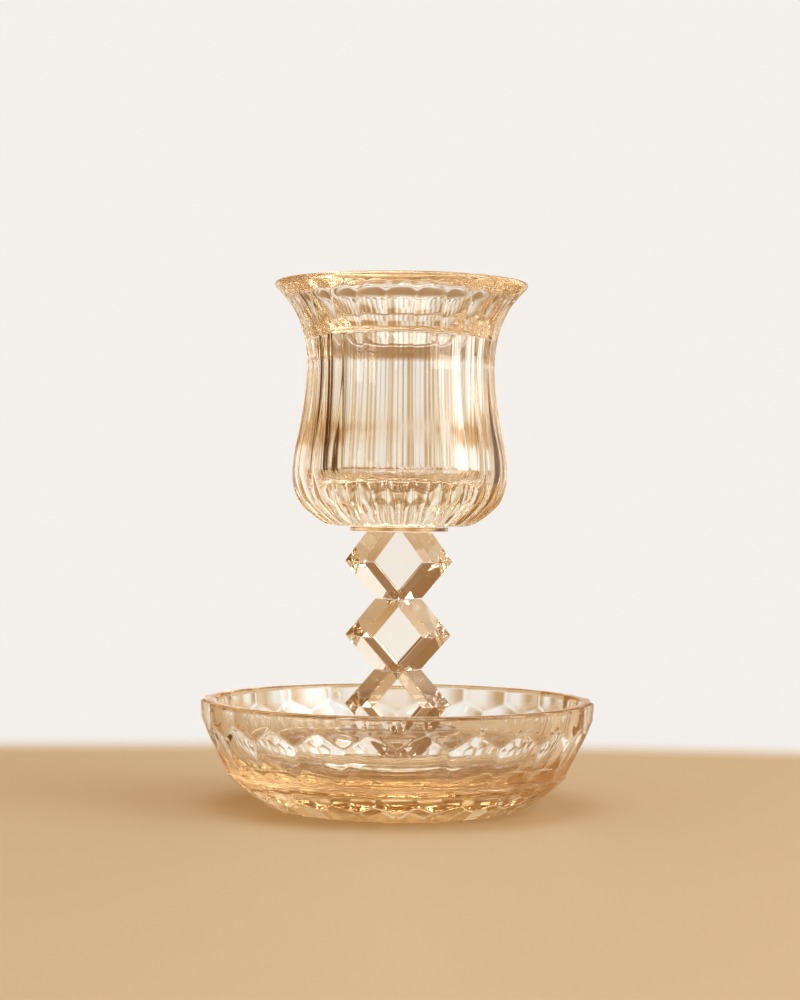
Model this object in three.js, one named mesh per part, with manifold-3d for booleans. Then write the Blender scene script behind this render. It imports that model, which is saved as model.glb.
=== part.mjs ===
// Kiddush cup of pale amber crystal, standing in its own saucer bowl.
// Millimetres, +Z up, origin at the centre of the saucer's foot on the table, front towards -Y.
import * as THREE from "three";
import { mergeVertices } from "three/addons/utils/BufferGeometryUtils.js";
import { ConvexGeometry } from "three/addons/geometries/ConvexGeometry.js";
import Module from "manifold-3d";

const wasm = await Module();
wasm.setup();

// ---- driving dimensions ----------------------------------------------------
const PANELS = 24; // flutes round the cup, and facets in each row round the saucer
const GAP = 0.3; // hairline between two bonded pieces

const SAUCER_H = 35.5; // rim height
const ROW_A = { top: 64.9, bottom: 64.3, z: 26.6 }; // upright upper facets, apothems
const ROW_B = { top: 64.5, bottom: 57.1, z: 12.1 }; // leaning facets under them, edge radii
const LEDGE_Z = 11.6; // top of the stepped lower tier
const GROOVE_R = 55.3; // groove between the tiers
const ROW_C = { top: 56.3, bottom: 49.5, zTop: 10.9, zBottom: 4.5 }; // lower tier, upper facets
const ROW_D = { top: 49.7, bottom: 41.8, zTop: 4.5 }; // lower tier, facets down to the foot
const WELL_RIM_R = 60.1; // saucer's inside radius at the rim
const WELL_FLOOR_R = 43.0; // saucer's flat inner floor
const WELL_FLOOR_Z = 12.0; // thickness of the saucer's solid base

const FOOT_R = 23.5; // round foot of the cup
const FOOT_H = 9.6;
const FOOT_BEVEL = 0.8;

// Stem gems: outermost corner, its height, lower and upper table heights and half diagonals.
const GEMS = [
  { name: "stem_gem_bottom", r: 17.6, z: 33.8, z0: 22.2, t0: 7.9, z1: 45.3, t1: 7.8 },
  { name: "stem_gem_middle", r: 17.6, z: 56.8, z0: 45.6, t0: 7.8, z1: 68.9, t1: 7.7 },
  { name: "stem_gem_top", r: 17.9, z: 81.4, z0: 69.2, t0: 7.9, z1: 91.2, t1: 10.8 },
];
// Front and back of every gem, measured as distance in from the outline (left to
// right) and as distance from the axis (front to back).
const GEM_LOZENGE = 8.2; // half width of the flat lozenge
const GEM_LOZENGE_Y = 14.3; // its distance from the axis
const GEM_STEP = 11.7; // half width where the shallow bevel meets the steep one
const GEM_STEP_Y = 12.0;

const SEAT_R = 16.3; // thin disc between the stem and the bowl
const SEAT_Z = 91.5;
const SEAT_H = 1.3;

const BOWL_Z = 93.1; // underside of the bowl
const WELL_R = 21.2; // drinking well
const WELL_Z = 108.6; // floor of the well
const WELL_CORNER = 3.4;
const WELL_DISH = 1.0; // the floor's sinking towards its middle
// Sinking of each flute below its two ridges: [height, depth].
const FLUTE_DEPTH = [[93, 1.2], [97, 1.2], [110, 0.5], [152, 0.5], [166, 0.9], [172, 0.9]];
const FLUTE_TOP = 170.4; // where the flutes run out below the lip's smooth collar
const FLUTE_END = 4.2; // height of a flute's rounded upper end
const FLUTE_STEPS = 4; // faces across one flute

// Ridge radius of the bowl's outside, from the underside to the lip.
const BOWL_OUTSIDE = [
  [21.3, 93.1], [24.8, 93.9], [29.0, 96.6], [33.3, 100.7], [35.3, 105.4], [35.9, 110.8],
  [35.2, 117.8], [33.8, 124.4], [32.2, 134.4], [31.4, 144.8], [31.9, 152.7],
  [33.6, 159.7], [36.4, 165.5], [38.1, 168.0], [39.9, 170.4], [41.5, 171.9],
];
// The thick lip and the mouth inside, down to the ledge above the well.
const BOWL_MOUTH = [
  [42.1, 173.0], [41.8, 173.8], [41.0, 174.1], [38.4, 173.5], [36.0, 172.3], [33.6, 170.4],
  [30.2, 165.6], [27.3, 161.0], [25.3, 158.4], [23.0, 157.5], [21.9, 156.4],
];

// ---- materials -------------------------------------------------------------
const amber = (hex) =>
  new THREE.MeshStandardMaterial({
    color: hex,
    roughness: 0.03,
    metalness: 0,
    transparent: true,
    opacity: 0.4,
  });

// ---- helpers ---------------------------------------------------------------
// A profile of [radius, height] pairs turned round the upright axis; with few
// sides it is a faceted body. turn is in panels.
function turned(profile, sides, turn = 0) {
  const g = new THREE.LatheGeometry(
    profile.map(([r, z]) => new THREE.Vector2(r, z)),
    sides,
  );
  g.rotateX(Math.PI / 2);
  g.rotateZ((turn * 2 * Math.PI) / PANELS);
  return g;
}

function welded(geometry) {
  const g = geometry.index ? geometry.toNonIndexed() : geometry.clone();
  const bare = new THREE.BufferGeometry().setAttribute("position", g.getAttribute("position"));
  return mergeVertices(bare, 1e-4);
}

function solid(geometry) {
  const g = welded(geometry);
  const tris = [];
  const ix = g.index.array;
  for (let i = 0; i < ix.length; i += 3) {
    const [a, b, c] = [ix[i], ix[i + 1], ix[i + 2]];
    if (a !== b && b !== c && c !== a) tris.push(a, b, c);
  }
  const make = (t) =>
    new wasm.Manifold(
      new wasm.Mesh({
        numProp: 3,
        vertProperties: new Float32Array(g.attributes.position.array),
        triVerts: new Uint32Array(t),
      }),
    );
  const made = make(tris);
  if (made.volume() > 0) return made;
  for (let i = 0; i < tris.length; i += 3) [tris[i + 1], tris[i + 2]] = [tris[i + 2], tris[i + 1]];
  return make(tris);
}

function geometryOf(manifold) {
  const m = manifold.getMesh();
  const g = new THREE.BufferGeometry();
  g.setAttribute("position", new THREE.BufferAttribute(new Float32Array(m.vertProperties), 3));
  g.setIndex(Array.from(m.triVerts));
  const flat = g.toNonIndexed();
  flat.computeVertexNormals();
  return flat;
}

// Extra radius that turns the apothem of a PANELS-sided ring into its corner radius.
const CORNER = 1 / Math.cos(Math.PI / PANELS);

// A frustum with PANELS flat faces. r0 and r1 are radii at z0 and z1; offset 0
// puts the middle of a face at the front, 0.5 puts an upright edge there.
function frustum(r0, z0, r1, z1, offset, asApothem) {
  const k = asApothem ? CORNER : 1;
  // LatheGeometry starts with a corner at the front, so a face there is half a panel on.
  return solid(turned([[0, z0], [r0 * k, z0], [r1 * k, z1], [0, z1]], PANELS, offset ? 0 : 0.5));
}

// ---- the saucer bowl -------------------------------------------------------
function saucer() {
  const line = (a, za, b, zb, z) => a + ((b - a) * (z - za)) / (zb - za);
  const a = (z) => line(ROW_A.bottom, ROW_A.z, ROW_A.top, SAUCER_H, z);
  const b = (z) => line(ROW_B.bottom, ROW_B.z, ROW_B.top, ROW_A.z, z);
  const c = (z) => line(ROW_C.bottom, ROW_C.zBottom, ROW_C.top, ROW_C.zTop, z);
  const d = (z) => line(ROW_D.bottom, 0, ROW_D.top, ROW_D.zTop, z);

  const upper = frustum(a(ROW_B.z), ROW_B.z, a(SAUCER_H), SAUCER_H, 0, true).intersect(
    frustum(b(ROW_B.z), ROW_B.z, b(SAUCER_H), SAUCER_H, 0.5, false),
  );
  const neck = solid(turned([[0, LEDGE_Z - 1], [GROOVE_R, LEDGE_Z - 1], [GROOVE_R, ROW_B.z + 1], [0, ROW_B.z + 1]], PANELS * 3));
  const lower = frustum(c(0), 0, c(LEDGE_Z), LEDGE_Z, 0, true)
    .intersect(frustum(d(0), 0, d(LEDGE_Z), LEDGE_Z, 0.5, false))
    .intersect(solid(turned([[0, -1], [60, -1], [ROW_C.top * CORNER, ROW_C.zTop], [GROOVE_R + 0.4, LEDGE_Z], [0, LEDGE_Z]], PANELS, 0.5)));

  // Smooth inside: a flat floor, a round corner and a wall that leans out to the rim.
  const wall = new THREE.CubicBezierCurve(
    new THREE.Vector2(WELL_FLOOR_R, WELL_FLOOR_Z),
    new THREE.Vector2(WELL_FLOOR_R + 11, WELL_FLOOR_Z + 0.6),
    new THREE.Vector2(WELL_RIM_R - 1.6, WELL_FLOOR_Z + 11),
    new THREE.Vector2(WELL_RIM_R - 0.4, SAUCER_H - 0.5),
  );
  const inside = [
    [0, WELL_FLOOR_Z],
    ...wall.getPoints(7).map((p) => [p.x, p.y]),
    [WELL_RIM_R + 0.1, SAUCER_H],
    [WELL_RIM_R + 0.1, SAUCER_H + 2],
    [0, SAUCER_H + 2],
  ];
  return geometryOf(upper.add(neck).add(lower).subtract(solid(turned(inside, PANELS * 3))));
}

// ---- the cup's foot and seat -----------------------------------------------
function disc(r, z, h, bevel) {
  return turned(
    [[0, z], [r - bevel, z], [r, z + bevel], [r, z + h - bevel], [r - bevel, z + h], [0, z + h]],
    60,
  );
}

// ---- a stem gem ------------------------------------------------------------
// A lozenge-shaped gem: a sharp corner to the left and right, flat tables above
// and below, and towards the front and the back a flat lozenge with a shallow
// and a steep bevel round it. Each bevel face is |x| + m |y| + k |z| = reach.
function gem({ r, z, z0, t0, z1, t1 }) {
  const planes = [
    [0, 0, 1, z1 - z],
    [0, 0, -1, z - z0],
    [0, 1, 0, GEM_LOZENGE_Y],
    [0, -1, 0, GEM_LOZENGE_Y],
  ];
  const steep = (r - GEM_STEP) / GEM_STEP_Y;
  const shallow = (GEM_STEP - GEM_LOZENGE) / (GEM_LOZENGE_Y - GEM_STEP_Y);
  for (const sx of [-1, 1])
    for (const sy of [-1, 1])
      for (const k of [(r - t1) / (z1 - z), -(r - t0) / (z - z0)]) {
        planes.push([sx, sy * steep, k, r]);
        planes.push([sx, sy * shallow, k, GEM_STEP + shallow * GEM_STEP_Y]);
      }
  const points = cornersOf(planes);
  for (const p of points) p.z += z;
  return new ConvexGeometry(points);
}

// The corners of the convex body a x + b y + c z <= d for every [a, b, c, d].
function cornersOf(planes) {
  const n = planes.map(([a, b, c]) => new THREE.Vector3(a, b, c));
  const found = [];
  for (let i = 0; i < planes.length; i++)
    for (let j = i + 1; j < planes.length; j++)
      for (let k = j + 1; k < planes.length; k++) {
        const det = n[i].dot(n[j].clone().cross(n[k]));
        if (Math.abs(det) < 1e-6) continue;
        const p = n[j].clone().cross(n[k]).multiplyScalar(planes[i][3]);
        p.add(n[k].clone().cross(n[i]).multiplyScalar(planes[j][3]));
        p.add(n[i].clone().cross(n[j]).multiplyScalar(planes[k][3]));
        p.divideScalar(det);
        if (planes.some((q, m) => n[m].dot(p) > q[3] + 1e-6)) continue;
        if (found.every((f) => f.distanceTo(p) > 1e-4)) found.push(p);
      }
  return found;
}

// ---- the cup's bowl --------------------------------------------------------
// A thick-walled vessel: the outside carries PANELS hollow flutes from the lip
// to the underside, the drinking well inside is round and smooth.
function fluteDepth(z) {
  const n = FLUTE_DEPTH.findIndex(([height]) => height > z);
  const [[z0, d0], [z1, d1]] = FLUTE_DEPTH.slice(n - 1, n + 1);
  return d0 + ((d1 - d0) * (z - z0)) / (z1 - z0);
}

function bowl() {
  const sides = PANELS * FLUTE_STEPS;
  const corner = [];
  for (let i = 0; i <= 2; i++) {
    const a = (i / 2) * (Math.PI / 2);
    corner.push([
      WELL_R - WELL_CORNER + WELL_CORNER * Math.cos(a),
      WELL_Z + WELL_CORNER - WELL_CORNER * Math.sin(a),
    ]);
  }
  const profile = [
    [0, BOWL_Z],
    ...BOWL_OUTSIDE,
    ...BOWL_MOUTH,
    ...corner,
    ...[0.6, 0.3, 0].map((k) => [(WELL_R - WELL_CORNER) * k, WELL_Z - WELL_DISH * (1 - k * k)]),
  ];
  const g = turned(profile, sides);
  const p = g.getAttribute("position");
  const ring = profile.length;
  const outside = BOWL_OUTSIDE.length; // rings 1 … outside carry the flutes
  for (let s = 0; s <= sides; s++) {
    const across = ((s % FLUTE_STEPS) / FLUTE_STEPS) * 2; // 0 … 2 over one flute
    for (let i = 1; i <= outside; i++) {
      const n = s * ring + i;
      const [r, z] = profile[i];
      const end = Math.max(0, z - FLUTE_TOP + FLUTE_END) / FLUTE_END; // 0 … 1 over the rounded end
      const sink = fluteDepth(z) * Math.max(0, 1 - (across - 1) ** 2 - end ** 2);
      // ridges fall half a panel either side of the front, so the front is a flute's middle
      const k = (r - sink) / r;
      p.setXY(n, p.getX(n) * k, p.getY(n) * k);
    }
  }
  g.rotateZ(Math.PI / PANELS);
  return geometryOf(solid(g));
}

// ---- the object ------------------------------------------------------------
const cup = new THREE.Group();
cup.name = "kiddush_cup";

function piece(name, geometry, hex, parent) {
  const mesh = new THREE.Mesh(geometry, amber(hex));
  mesh.name = name;
  parent.add(mesh);
  return mesh;
}

piece("saucer_bowl", saucer(), 0xe6c79c, cup);

// The cup stands loose on the saucer's floor.
const standing = new THREE.Group();
cup.add(standing);
piece(
  "cup_foot",
  geometryOf(solid(disc(FOOT_R, WELL_FLOOR_Z + GAP, FOOT_H, FOOT_BEVEL))),
  0xe3c9a2,
  standing,
);
for (const g of GEMS) piece(g.name, geometryOf(solid(gem(g))), 0xd9a968, standing);
piece("bowl_seat", geometryOf(solid(disc(SEAT_R, SEAT_Z, SEAT_H, 0.3))), 0xd9a968, standing);
piece("cup_bowl", bowl(), 0xe3c9a2, standing);

export default cup;
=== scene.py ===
import bpy
import bmesh
import math
import itertools
from mathutils import Matrix, Quaternion, Vector


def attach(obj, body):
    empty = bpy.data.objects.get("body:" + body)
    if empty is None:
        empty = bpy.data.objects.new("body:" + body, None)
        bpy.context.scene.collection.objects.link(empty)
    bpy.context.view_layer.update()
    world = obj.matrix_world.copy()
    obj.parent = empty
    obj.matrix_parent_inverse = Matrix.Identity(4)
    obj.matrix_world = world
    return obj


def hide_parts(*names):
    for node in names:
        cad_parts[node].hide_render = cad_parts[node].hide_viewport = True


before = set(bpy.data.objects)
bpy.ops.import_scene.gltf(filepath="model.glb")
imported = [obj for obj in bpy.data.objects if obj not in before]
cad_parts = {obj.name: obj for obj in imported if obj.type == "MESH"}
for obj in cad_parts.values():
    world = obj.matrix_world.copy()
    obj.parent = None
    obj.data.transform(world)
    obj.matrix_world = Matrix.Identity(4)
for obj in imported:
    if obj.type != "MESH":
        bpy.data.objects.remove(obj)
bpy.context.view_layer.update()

MM = 0.001
PANELS = 24
FRONT = -math.pi / 2  # direction of the front seen from above

# ---------------------------------------------------------------- sizes (mm)
SAUCER_H = 35.5
ROW_A = (64.3, 26.6, 64.9, 35.5)  # apothem, height, apothem, height
ROW_B = (57.1, 12.1, 64.5, 26.6)  # edge radius, height, edge radius, height
LEDGE_Z = 11.6
GROOVE_R = 55.3
ROW_C = (49.5, 4.5, 56.3, 10.9)
ROW_D = (41.8, 0.0, 49.7, 4.5)
FLOOR_R, FLOOR_Z, RIM_R = 43.0, 12.0, 60.1

GEMS = (
    ("stem_gem_bottom", 17.6, 33.8, 22.2, 7.9, 45.3, 7.8),
    ("stem_gem_middle", 17.6, 56.8, 45.6, 7.8, 68.9, 7.7),
    ("stem_gem_top", 17.9, 81.4, 69.2, 7.9, 91.2, 10.8),
)
GEM_LOZENGE, GEM_LOZENGE_Y, GEM_STEP, GEM_STEP_Y = 8.2, 14.3, 11.7, 12.0

BOWL_OUTSIDE = (
    (93.1, 21.3), (93.9, 24.8), (96.6, 29.0), (100.7, 33.3), (105.4, 35.3), (110.8, 35.9),
    (117.8, 35.2), (124.4, 33.8), (134.4, 32.2), (144.8, 31.4), (152.7, 31.9), (159.7, 33.6),
    (165.5, 36.4), (168.0, 38.1), (170.4, 39.9), (171.9, 41.4),
)
BOWL_INSIDE = (
    (173.5, 38.4), (172.3, 36.0), (170.4, 33.6), (165.6, 30.2), (161.0, 26.8), (159.2, 25.3),
    (158.3, 24.5), (157.9, 23.8), (157.5, 22.8), (157.1, 22.2), (156.4, 21.95),
)
WELL_R, WELL_Z, WELL_CORNER = 21.2, 108.6, 3.4
WELL_DISH = 1.0
FLUTE_DEPTH = ((93, 1.2), (97, 1.2), (110, 0.5), (152, 0.5), (166, 0.9), (172, 0.9))  # height, depth
FLUTE_TOP, FLUTE_END = 170.4, 4.2


# ------------------------------------------------------------------- helpers
def new_piece(name, verts, faces, mat, node, smooth=True):
    me = bpy.data.meshes.new(name)
    me.from_pydata([(x * MM, y * MM, z * MM) for x, y, z in verts], [], faces)
    me.validate()
    for p in me.polygons:
        p.use_smooth = smooth
    ob = bpy.data.objects.new(name, me)
    bpy.context.scene.collection.objects.link(ob)
    me.materials.append(mat)
    if node:
        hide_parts(node)
        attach(ob, "root")
    return ob


def smooth_curve(points, n):
    """Points along a Catmull-Rom curve through the given points, evenly enough spaced."""
    p = [points[0]] + list(points) + [points[-1]]
    out = []
    for i in range(1, len(p) - 2):
        steps = n
        for k in range(steps):
            t = k / steps
            a, b, c, d = p[i - 1], p[i], p[i + 1], p[i + 2]
            out.append(
                tuple(
                    0.5
                    * (
                        2 * b[j]
                        + (c[j] - a[j]) * t
                        + (2 * a[j] - 5 * b[j] + 4 * c[j] - d[j]) * t * t
                        + (3 * b[j] - a[j] - 3 * c[j] + d[j]) * t**3
                    )
                    for j in range(2)
                )
            )
    out.append(tuple(points[-1]))
    return out


def turned(profile, sides, radius=None):
    """Closed body turned round the upright axis. profile is (radius, height); ends on the axis."""
    verts, faces = [], []
    ring = []
    for i, (r, z) in enumerate(profile):
        if r < 1e-6:
            ring.append([len(verts)])
            verts.append((0, 0, z))
            continue
        row = []
        for s in range(sides):
            a = FRONT + 2 * math.pi * s / sides
            rr = radius(i, r, z, s) if radius else r  # radius may shape each ring
            row.append(len(verts))
            verts.append((rr * math.cos(a), rr * math.sin(a), z))
        ring.append(row)
    for lo, hi in zip(ring, ring[1:]):
        for s in range(sides):
            t = (s + 1) % sides
            if len(lo) == 1:
                faces.append((lo[0], hi[t], hi[s]))
            elif len(hi) == 1:
                faces.append((lo[s], lo[t], hi[0]))
            else:
                faces.append((lo[s], lo[t], hi[t], hi[s]))
    return verts, faces


def convex(planes):
    """Corner points of the body n . x <= d for each (n, d)."""
    ns = [Vector(n).normalized() for n, _ in planes]
    ds = [d / Vector(n).length for n, d in planes]
    pts = []
    for i, j, k in itertools.combinations(range(len(planes)), 3):
        c = ns[j].cross(ns[k])
        det = ns[i].dot(c)
        if abs(det) < 1e-4:
            continue
        p = (c * ds[i] + ns[k].cross(ns[i]) * ds[j] + ns[i].cross(ns[j]) * ds[k]) / det
        if all(n.dot(p) <= d + 1e-4 for n, d in zip(ns, ds)):
            if all((p - q).length > 1e-3 for q in pts):
                pts.append(p)
    return pts


def hull_mesh(points, name, limit=0.3):
    """Convex body with its flat faces kept whole."""
    bm = bmesh.new()
    for p in points:
        bm.verts.new(p)
    bmesh.ops.convex_hull(bm, input=bm.verts)
    bmesh.ops.dissolve_limit(
        bm, angle_limit=math.radians(limit), verts=bm.verts, edges=bm.edges
    )
    bmesh.ops.recalc_face_normals(bm, faces=bm.faces)
    me = bpy.data.meshes.new(name)
    bm.to_mesh(me)
    bm.free()
    ob = bpy.data.objects.new(name, me)
    bpy.context.scene.collection.objects.link(ob)
    return ob


def apply_all(ob):
    """Applies an object's modifiers."""
    dg = bpy.context.evaluated_depsgraph_get()
    me = bpy.data.meshes.new_from_object(ob.evaluated_get(dg))
    ob.modifiers.clear()
    old = ob.data
    ob.data = me
    bpy.data.meshes.remove(old)


def bevel(ob, width, angle=6.0, segments=2):
    m = ob.modifiers.new("edge", "BEVEL")
    m.width, m.segments, m.limit_method = width * MM, segments, "ANGLE"
    m.angle_limit = math.radians(angle)
    m.harden_normals = False
    m.use_clamp_overlap = True
    apply_all(ob)


def glass(name, absorb, density, bump=0.0, scale=60.0, ior=1.52, tint=(1, 1, 1)):
    m = bpy.data.materials.new(name)
    m.use_nodes = True
    nt = m.node_tree
    n, link = nt.nodes, nt.links
    p = n["Principled BSDF"]
    out = n["Material Output"]
    p.inputs["Base Color"].default_value = (*tint, 1)
    p.inputs["Roughness"].default_value = 0.0
    p.inputs["IOR"].default_value = ior
    p.inputs["Transmission Weight"].default_value = 1.0
    v = n.new("ShaderNodeVolumeAbsorption")
    v.inputs["Color"].default_value = (*absorb, 1)
    v.inputs["Density"].default_value = density
    link.new(v.outputs[0], out.inputs["Volume"])
    if bump:
        tc = n.new("ShaderNodeTexCoord")
        mp = n.new("ShaderNodeMapping")
        mp.inputs["Scale"].default_value = (1, 1, 0.35)
        nz = n.new("ShaderNodeTexNoise")
        nz.inputs["Scale"].default_value = scale
        nz.inputs["Detail"].default_value = 2
        b = n.new("ShaderNodeBump")
        b.inputs["Strength"].default_value = bump
        b.inputs["Distance"].default_value = 0.0004
        link.new(tc.outputs["Object"], mp.inputs[0])
        link.new(mp.outputs[0], nz.inputs[0])
        link.new(nz.outputs["Fac"], b.inputs["Height"])
        link.new(b.outputs[0], p.inputs["Normal"])
    # light falls through the glass on to the floor
    sh = n.new("ShaderNodeBsdfTransparent")
    sh.inputs["Color"].default_value = (0.87, 0.77, 0.61, 1)
    lp = n.new("ShaderNodeLightPath")
    mx = n.new("ShaderNodeMixShader")
    link.new(lp.outputs["Is Shadow Ray"], mx.inputs[0])
    link.new(p.outputs[0], mx.inputs[1])
    link.new(sh.outputs[0], mx.inputs[2])
    link.new(mx.outputs[0], out.inputs["Surface"])
    return m


ABSORB = (0.92, 0.735, 0.38)
cup_glass = glass("pale_amber_crystal", ABSORB, 5.0, bump=0.01)
gem_glass = glass("amber_crystal", ABSORB, 7.0, bump=0.005)
saucer_glass = glass("saucer_crystal", ABSORB, 13.0, bump=0.05)
seat_glass = glass("seat_crystal", ABSORB, 55.0, bump=0.01)

# -------------------------------------------------------------------- camera
DIST, EYE, ROLL = 0.75, 0.1018, 0.58
cam = bpy.data.cameras.new("camera")
cam_ob = bpy.data.objects.new("camera", cam)
bpy.context.scene.collection.objects.link(cam_ob)
bpy.context.scene.camera = cam_ob
cam.sensor_width = 36.0
cam.lens = 36.0 * DIST / 0.3333
cam_ob.location = (0.0002, -DIST, EYE)
cam_ob.rotation_mode = "QUATERNION"
cam_ob.rotation_quaternion = Vector((0, 1, 0)).to_track_quat("-Z", "Y") @ Quaternion(
    (0, 0, 1), math.radians(ROLL)
)
cam.clip_start, cam.clip_end = 0.05, 100

# -------------------------------------------------------------- saucer bowl
def line(a, za, b, zb, z):
    return a + (b - a) * (z - za) / (zb - za)


C = math.cos(math.pi / PANELS)


def facets(rows, z, angle):
    """Radius at this height and angle of rings of sunken faces whose edges are melted round."""
    soft, sunk = (0.1, 0.45) if rows is UPPER else (0.05, 0.3)
    total = 0.0
    for a0, z0, a1, z1, offset in rows:
        apothem = line(a0, z0, a1, z1, z)
        near = round((angle - FRONT) / (2 * math.pi) * PANELS - offset)
        for k in (-1, 0, 1):
            away = angle - FRONT - 2 * math.pi * (near + k + offset) / PANELS
            hollow = sunk * max(0.0, 1 - (away * PANELS / math.pi) ** 2)
            total += math.exp(-(apothem / math.cos(away) - hollow - 50) / soft)
    return 50 - soft * math.log(total)


UPPER = (
    (ROW_A[0], ROW_A[1], ROW_A[2], ROW_A[3], 0),
    (ROW_B[0] * C, ROW_B[1], ROW_B[2] * C, ROW_B[3], 0.5),
)
LOWER = (
    (ROW_C[0], ROW_C[1], ROW_C[2], ROW_C[3], 0),
    (ROW_D[0] * C, ROW_D[1], ROW_D[2] * C, ROW_D[3], 0.5),
)


def bezier(p, n):
    out = []
    for i in range(n + 1):
        t = i / n
        c = ((1 - t) ** 3, 3 * t * (1 - t) ** 2, 3 * t * t * (1 - t), t**3)
        out.append(tuple(sum(w * q[j] for w, q in zip(c, p)) for j in range(2)))
    return out


# every ring of the saucer from the underside out, up and in: faceted rows give
# the tier and how far the ring is set in, plain ones give the radius
rings = [((None, 0.0), 0.0)]
rings += [((LOWER, 0.42), 0.0), ((LOWER, 0.16), 0.08), ((LOWER, 0.03), 0.25)]
rings += [((LOWER, 0.0), 0.5 + (10.5 - 0.5) * i / 24) for i in range(25)]
rings += [((LOWER, 0.08), 10.8), ((LOWER, 0.28), 11.0)]
rings += [((None, GROOVE_R + 0.75), 11.35), ((None, GROOVE_R + 0.3), 11.52), ((None, GROOVE_R + 0.06), 11.66)]
rings += [((None, GROOVE_R), 11.85), ((None, GROOVE_R + 0.1), 12.02), ((None, GROOVE_R + 0.4), 12.1)]
rings += [((UPPER, 0.45), 12.14), ((UPPER, 0.14), 12.26), ((UPPER, 0.02), 12.5)]
rings += [((UPPER, 0.0), 12.8 + (34.7 - 12.8) * i / 46) for i in range(47)]
rings += [((UPPER, 0.04), 34.98), ((UPPER, 0.2), 35.28), ((UPPER, 0.5), 35.45), ((UPPER, 0.9), 35.5)]
rings += [((None, r), z) for r, z in ((62.4, 35.5), (61.3, 35.5), (60.75, 35.44), (60.35, 35.24))]
rings += [
    ((None, r), z)
    for r, z in reversed(
        bezier(
            (
                (FLOOR_R, FLOOR_Z),
                (FLOOR_R + 11, FLOOR_Z + 0.6),
                (RIM_R - 1.6, FLOOR_Z + 11),
                (RIM_R - 0.1, SAUCER_H - 0.6),
            ),
            34,
        )
    )
]
rings += [((None, 30.0), FLOOR_Z), ((None, 0.0), FLOOR_Z)]
SAUCER_SIDES = PANELS * 16


def saucer_radius(i, r, z, s):
    rows, inset = rings[i][0]
    if rows is None:
        return inset
    return facets(rows, z, FRONT + 2 * math.pi * s / SAUCER_SIDES) - inset


v, f = turned(
    [(0.0 if rows is None and r < 1e-6 else 1.0, z) for (rows, r), z in rings],
    SAUCER_SIDES,
    saucer_radius,
)
saucer = new_piece("saucer", v, f, saucer_glass, "saucer_bowl")

# ---------------------------------------------------------------------- gems
for name, r, z, z0, t0, z1, t1 in GEMS:
    steep = (r - GEM_STEP) / GEM_STEP_Y
    shallow = (GEM_STEP - GEM_LOZENGE) / (GEM_LOZENGE_Y - GEM_STEP_Y)
    planes = [
        ((0, 0, 1), z1 - z),
        ((0, 0, -1), z - z0),
        ((0, 1, 0), GEM_LOZENGE_Y),
        ((0, -1, 0), GEM_LOZENGE_Y),
    ]
    for sx in (-1, 1):
        for sy in (-1, 1):
            for k in ((r - t1) / (z1 - z), -(r - t0) / (z - z0)):
                planes.append(((sx, sy * steep, k), r))
                planes.append(((sx, sy * shallow, k), GEM_STEP + shallow * GEM_STEP_Y))
    g = hull_mesh([Vector((p.x, p.y, p.z + z)) * MM for p in convex(planes)], name + "_cut", 0.5)
    bevel(g, 0.12, 8, 2)
    g.data.materials.append(gem_glass)
    for p in g.data.polygons:
        p.use_smooth = False
    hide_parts(name)
    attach(g, "root")


# ------------------------------------------------------------ foot and seat
def rounded_disc(name, node, r, z, h, edge, mat, sides=256):
    prof = [(0, z)]
    for i in range(9):
        a = -math.pi / 2 + math.pi / 2 * i / 8
        prof.append((r - edge + edge * math.cos(a), z + edge + edge * math.sin(a)))
    for i in range(9):
        a = math.pi / 2 * i / 8
        prof.append((r - edge + edge * math.cos(a), z + h - edge + edge * math.sin(a)))
    prof.append((0, z + h))
    v, f = turned(prof, sides)
    return new_piece(name, v, f, mat, node)


foot = rounded_disc("foot", "cup_foot", 23.5, 12.3, 9.6, 0.8, cup_glass)
seat = rounded_disc("seat", "bowl_seat", 16.3, 91.5, 1.3, 0.3, seat_glass)

# ---------------------------------------------------------------------- bowl
outside = [(r, z) for z, r in smooth_curve(BOWL_OUTSIDE, 7)]
lip = []
for i in range(1, 12):  # thick lip, rounded from the outside over to the mouth
    a = -0.3 + (math.pi / 2 + 0.45) * i / 11
    lip.append((40.95 + 1.15 * math.cos(a), 172.95 + 1.15 * math.sin(a)))
lip.append((39.5, 173.96))
inside = [(r, z) for z, r in smooth_curve(BOWL_INSIDE, 8)]
well = [(WELL_R + 0.8 * (z - 112.0) / 43, z) for z in (153, 148, 143, 138, 133, 128, 123, 118, 114)]
corner = []
for i in range(13):
    a = math.pi / 2 * i / 12
    corner.append(
        (
            WELL_R - WELL_CORNER + WELL_CORNER * math.cos(a),
            WELL_Z + WELL_CORNER - WELL_CORNER * math.sin(a),
        )
    )
dish = []  # the well's floor sinks a little towards its middle, with faint tool rings
for i in range(1, 25):
    r = (WELL_R - WELL_CORNER) * (1 - i / 24)
    part = r / (WELL_R - WELL_CORNER)
    dish.append((r, WELL_Z - WELL_DISH * (1 - part * part) + 0.03 * part * math.sin(r * 1.75)))
profile = [(0, 93.1)] + outside + lip + inside + well + corner + dish
N_OUT = len(outside)
STEPS = 14
SIDES = PANELS * STEPS


def bowl_radius(i, r, z, s):
    if not 1 <= i <= N_OUT:
        return r
    t = (s / STEPS + 0.5) % 1.0 * 2 - 1  # -1 and 1 on the ridges, 0 in a flute's middle
    end = max(0.0, z - FLUTE_TOP + FLUTE_END) / FLUTE_END  # 0 … 1 over the rounded end
    depth = FLUTE_DEPTH[-1][1]
    for (z0, d0), (z1, d1) in zip(FLUTE_DEPTH, FLUTE_DEPTH[1:]):
        if z <= z1:
            depth = line(d0, z0, d1, z1, max(z, z0))
            break
    return r - depth * max(0.0, 1 - t * t - end * end)


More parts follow.
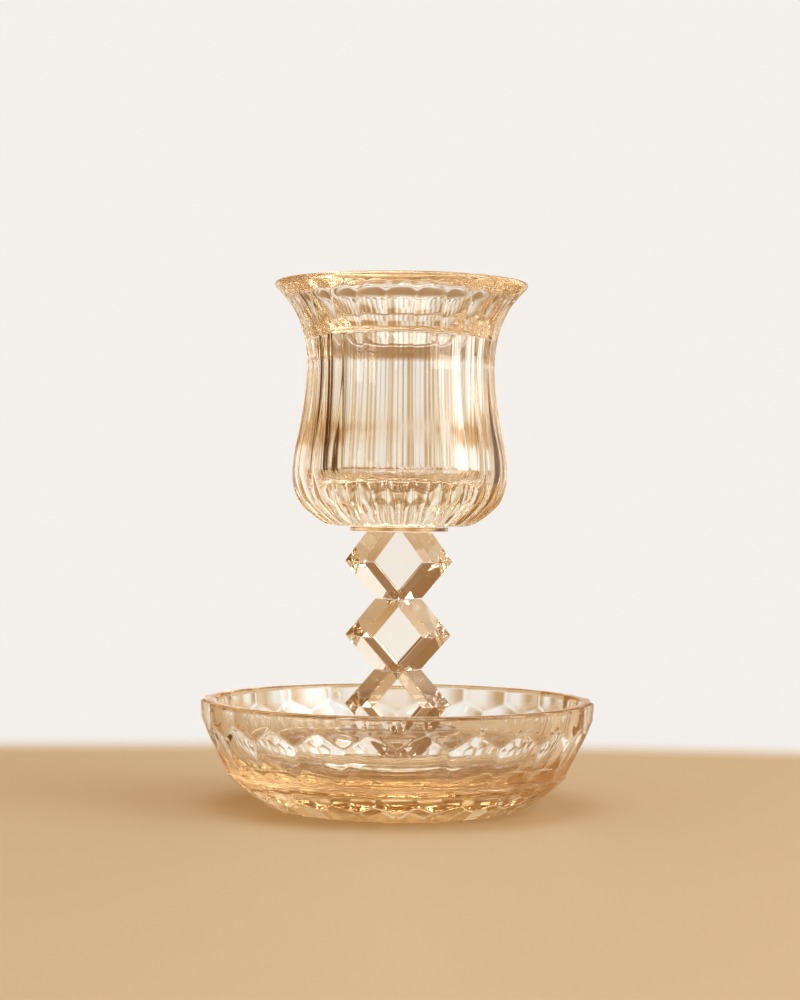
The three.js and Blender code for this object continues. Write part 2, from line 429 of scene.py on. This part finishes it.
v, f = turned(profile, SIDES, bowl_radius)
bowl = new_piece("bowl", v, f, cup_glass, "cup_bowl")

# ------------------------------------------------------- floor, light, world
def ramp_node(nt, stops, fac=None):
    r = nt.nodes.new("ShaderNodeValToRGB")
    el = r.color_ramp.elements
    while len(el) > 1:
        el.remove(el[-1])
    el[0].position, el[0].color = stops[0][0], (*stops[0][1], 1)
    for pos, col in stops[1:]:
        x = el.new(pos)
        x.color = (*col, 1)
    if fac is not None:
        nt.links.new(fac, r.inputs[0])
    return r


def floor_material():
    """Plain pale floor that fades out softly a little way behind the object."""
    m = bpy.data.materials.new("studio_floor")
    m.use_nodes = True
    nt = m.node_tree
    n, link = nt.nodes, nt.links
    p = n["Principled BSDF"]
    p.inputs["Roughness"].default_value = 0.5
    p.inputs["Base Color"].default_value = (0.67, 0.505, 0.32, 1)
    g = n.new("ShaderNodeNewGeometry")
    d = n.new("ShaderNodeVectorMath")
    d.operation = "DISTANCE"
    link.new(g.outputs["Position"], d.inputs[0])
    d.inputs[1].default_value = (0, FLOOR_MID, 0)
    mr = n.new("ShaderNodeMapRange")
    mr.interpolation_type = "SMOOTHSTEP"
    mr.inputs["From Min"].default_value = FLOOR_RADIUS - 0.07
    mr.inputs["From Max"].default_value = FLOOR_RADIUS
    link.new(d.outputs["Value"], mr.inputs["Value"])
    tr = n.new("ShaderNodeBsdfTransparent")
    mx = n.new("ShaderNodeMixShader")
    link.new(mr.outputs[0], mx.inputs[0])
    link.new(p.outputs[0], mx.inputs[1])
    link.new(tr.outputs[0], mx.inputs[2])
    link.new(mx.outputs[0], n["Material Output"].inputs["Surface"])
    return m


FLOOR_MID, FLOOR_RADIUS = -1.0, 1.22
fm = bpy.data.meshes.new("floor")
fm.from_pydata(
    [
        (FLOOR_RADIUS * math.cos(a), FLOOR_MID + FLOOR_RADIUS * math.sin(a), 0)
        for a in (2 * math.pi * i / 128 for i in range(128))
    ],
    [],
    [tuple(range(128))],
)
floor = bpy.data.objects.new("floor", fm)
floor.location.z = -0.0002
bpy.context.scene.collection.objects.link(floor)
fm.materials.append(floor_material())


def area(name, loc, target, size, power, color=(1, 1, 1), size_y=None):
    d = bpy.data.lights.new(name, "AREA")
    d.shape = "RECTANGLE"
    d.size, d.size_y = size, size_y or size
    d.energy, d.color = power, color
    o = bpy.data.objects.new(name, d)
    o.location = loc
    o.rotation_mode = "QUATERNION"
    o.rotation_quaternion = (Vector(target) - Vector(loc)).to_track_quat("-Z", "Y")
    bpy.context.scene.collection.objects.link(o)
    return o


area("key_right", (1.5, -0.6, 0.9), (0, 0, 0.1), 1.2, 27, (1.0, 0.97, 0.93), 1.8)
area("top", (-0.2, -0.35, 2.2), (0, 0, 0.1), 1.3, 27, (1.0, 0.96, 0.9))

w = bpy.data.worlds.new("studio")
bpy.context.scene.world = w
w.use_nodes = True
nt = w.node_tree
nt.nodes.clear()
n, link = nt.nodes, nt.links
tc = n.new("ShaderNodeTexCoord")
sep = n.new("ShaderNodeSeparateXYZ")
link.new(tc.outputs["Generated"], sep.inputs[0])


def math_node(op, a, b=None, c=None):
    m = n.new("ShaderNodeMath")
    m.operation = op
    for i, v in enumerate((a, b, c)):
        if v is None:
            continue
        if isinstance(v, (int, float)):
            m.inputs[i].default_value = v
        else:
            link.new(v, m.inputs[i])
    return m.outputs[0]


# 0.5 straight behind the object, 0 and 1 in front of it, 0.25 at its left, 0.75 at its right
around = math_node(
    "MULTIPLY_ADD", math_node("ARCTAN2", sep.outputs[0], sep.outputs[1]), 0.5 / math.pi, 0.5
)
height = math_node("MULTIPLY_ADD", sep.outputs[2], 0.5, 0.5)
WALLS = (  # degrees from straight behind, left negative; the tone there
    (-180, (0.30, 0.13, 0.025)),
    (-158, (0.20, 0.08, 0.013)),
    (-146, (0.62, 0.38, 0.14)),
    (-126, (0.80, 0.60, 0.34)),
    (-114, (0.18, 0.07, 0.011)),
    (-92, (0.15, 0.055, 0.009)),
    (-82, (1.00, 0.88, 0.68)),
    (-68, (0.92, 0.78, 0.56)),
    (-58, (0.11, 0.038, 0.006)),
    (-42, (0.15, 0.055, 0.010)),
    (-31, (0.95, 0.88, 0.77)),
    (-20, (0.97, 0.93, 0.87)),
    (-10, (0.70, 0.50, 0.27)),
    (-3.5, (0.96, 0.94, 0.91)),
    (2.5, (0.96, 0.94, 0.91)),
    (9, (0.60, 0.39, 0.17)),
    (19, (0.95, 0.89, 0.80)),
    (27, (0.72, 0.53, 0.29)),
    (36, (1.00, 0.95, 0.88)),
    (60, (1.35, 1.33, 1.30)),
    (84, (1.35, 1.33, 1.30)),
    (92, (0.28, 0.12, 0.022)),
    (108, (0.18, 0.07, 0.011)),
    (118, (1.15, 1.08, 0.98)),
    (138, (1.10, 0.98, 0.82)),
    (150, (0.18, 0.07, 0.011)),
    (180, (0.30, 0.13, 0.025)),
)
walls = ramp_node(nt, [(0.5 + az / 360, tone) for az, tone in WALLS], around)


def by_height(stops):
    """A ramp over the angle above the horizon, in degrees."""
    return ramp_node(
        nt, [(0.5 + 0.5 * math.sin(math.radians(el)), tone) for el, tone in stops], height
    )


def over(below, above, share, blend="MIX"):
    m = n.new("ShaderNodeMix")
    m.data_type, m.blend_type = "RGBA", blend
    if isinstance(share, (int, float)):
        m.inputs[0].default_value = share
    else:
        link.new(share, m.inputs[0])
    link.new(below, m.inputs[6])
    if isinstance(above, tuple):
        m.inputs[7].default_value = (*above, 1)
    else:
        link.new(above, m.inputs[7])
    return m.outputs[2]


def patch(tone, colour, azimuths, elevations):
    """One colour over a soft-edged part of the surroundings, given as (degrees, share) stops."""
    wide = ramp_node(nt, [(0.5 + az / 360, (k, k, k)) for az, k in azimuths], around)
    tall = by_height([(el, (k, k, k)) for el, k in elevations])
    share = over(wide.outputs[0], tall.outputs[0], 1, "MULTIPLY")
    return over(tone, colour, share)


low = by_height(
    (
        (-60, (0.50, 0.29, 0.11)),
        (-25, (0.55, 0.33, 0.14)),
        (-15, (0.62, 0.40, 0.19)),
        (-12.4, (0.90, 0.81, 0.67)),
        (-9, (0.97, 0.95, 0.92)),
        (-4, (1, 1, 1)),
    )
)
tone = over(walls.outputs[0], low.outputs[0], 1, "MULTIPLY")
# the floor is brighter just right of the object
tone = patch(
    tone,
    (0.97, 0.92, 0.85),
    ((-2, 0), (3, 1), (12, 1), (16, 0)),
    ((-34, 0), (-24, 0.8), (-14, 0.8), (-9, 0)),
)
ceiling = by_height(
    (
        (7, (0.46, 0.25, 0.085)),
        (13, (0.33, 0.16, 0.042)),
        (24, (0.30, 0.13, 0.03)),
        (33, (0.34, 0.15, 0.035)),
        (40, (1.00, 0.94, 0.87)),
        (66, (1.10, 1.06, 1.02)),
        (76, (0.40, 0.19, 0.05)),
        (90, (0.34, 0.15, 0.035)),
    )
)
ceiling_share = by_height(((4.5, (0, 0, 0)), (7.5, (0.88, 0.88, 0.88)), (24, (0.96, 0.96, 0.96))))
tone = over(tone, ceiling.outputs[0], ceiling_share.outputs[0])
# a tall soft light to the right, a little behind the object
tone = patch(
    tone,
    (1.12, 1.06, 0.98),
    ((22, 0), (32, 1), (84, 1), (92, 0)),
    ((-14, 0), (-8, 1), (58, 1), (68, 0)),
)
# darker parts: high behind the object, and high at both sides in front of it
tone = patch(
    tone, (0.50, 0.28, 0.10), ((-78, 0), (-58, 1), (48, 1), (68, 0)), ((42, 0), (48, 0.9))
)
tone = patch(
    tone,
    (0.33, 0.15, 0.038),
    ((-38, 0), (-24, 1), (24, 1), (34, 0)),
    ((24, 0), (30, 0.94), (48, 0.94), (54, 0)),
)
tone = patch(
    tone, (0.20, 0.085, 0.016), ((-176, 0), (-162, 1), (-100, 1), (-88, 0)), ((28, 0), (35, 0.92))
)
tone = patch(
    tone,
    (0.22, 0.095, 0.018),
    ((97, 0), (103, 1), (130, 1), (138, 0)),
    ((28, 0), (34, 0.92), (78, 0.92)),
)
bg = n.new("ShaderNodeBackground")
link.new(tone, bg.inputs[0])
seen = n.new("ShaderNodeBackground")
seen.inputs[0].default_value = (0.912, 0.886, 0.851, 1)
even = n.new("ShaderNodeBackground")  # the soft even light on the floor
even.inputs[0].default_value = (0.26, 0.257, 0.25, 1)
lp = n.new("ShaderNodeLightPath")
mx = n.new("ShaderNodeMixShader")
link.new(lp.outputs["Is Diffuse Ray"], mx.inputs[0])
link.new(bg.outputs[0], mx.inputs[1])
link.new(even.outputs[0], mx.inputs[2])
mx2 = n.new("ShaderNodeMixShader")
link.new(lp.outputs["Is Camera Ray"], mx2.inputs[0])
link.new(mx.outputs[0], mx2.inputs[1])
link.new(seen.outputs[0], mx2.inputs[2])
wo = n.new("ShaderNodeOutputWorld")
link.new(mx2.outputs[0], wo.inputs[0])

bpy.context.scene.view_settings.view_transform = "Standard"
bpy.context.scene.view_settings.gamma = 0.87
# light runs a long way inside cut glass before it comes out
light_paths = bpy.context.scene.cycles
light_paths.max_bounces = 40
light_paths.glossy_bounces = 32
light_paths.transmission_bounces = 32
light_paths.transparent_max_bounces = 24
light_paths.caustics_reflective = False
light_paths.caustics_refractive = False
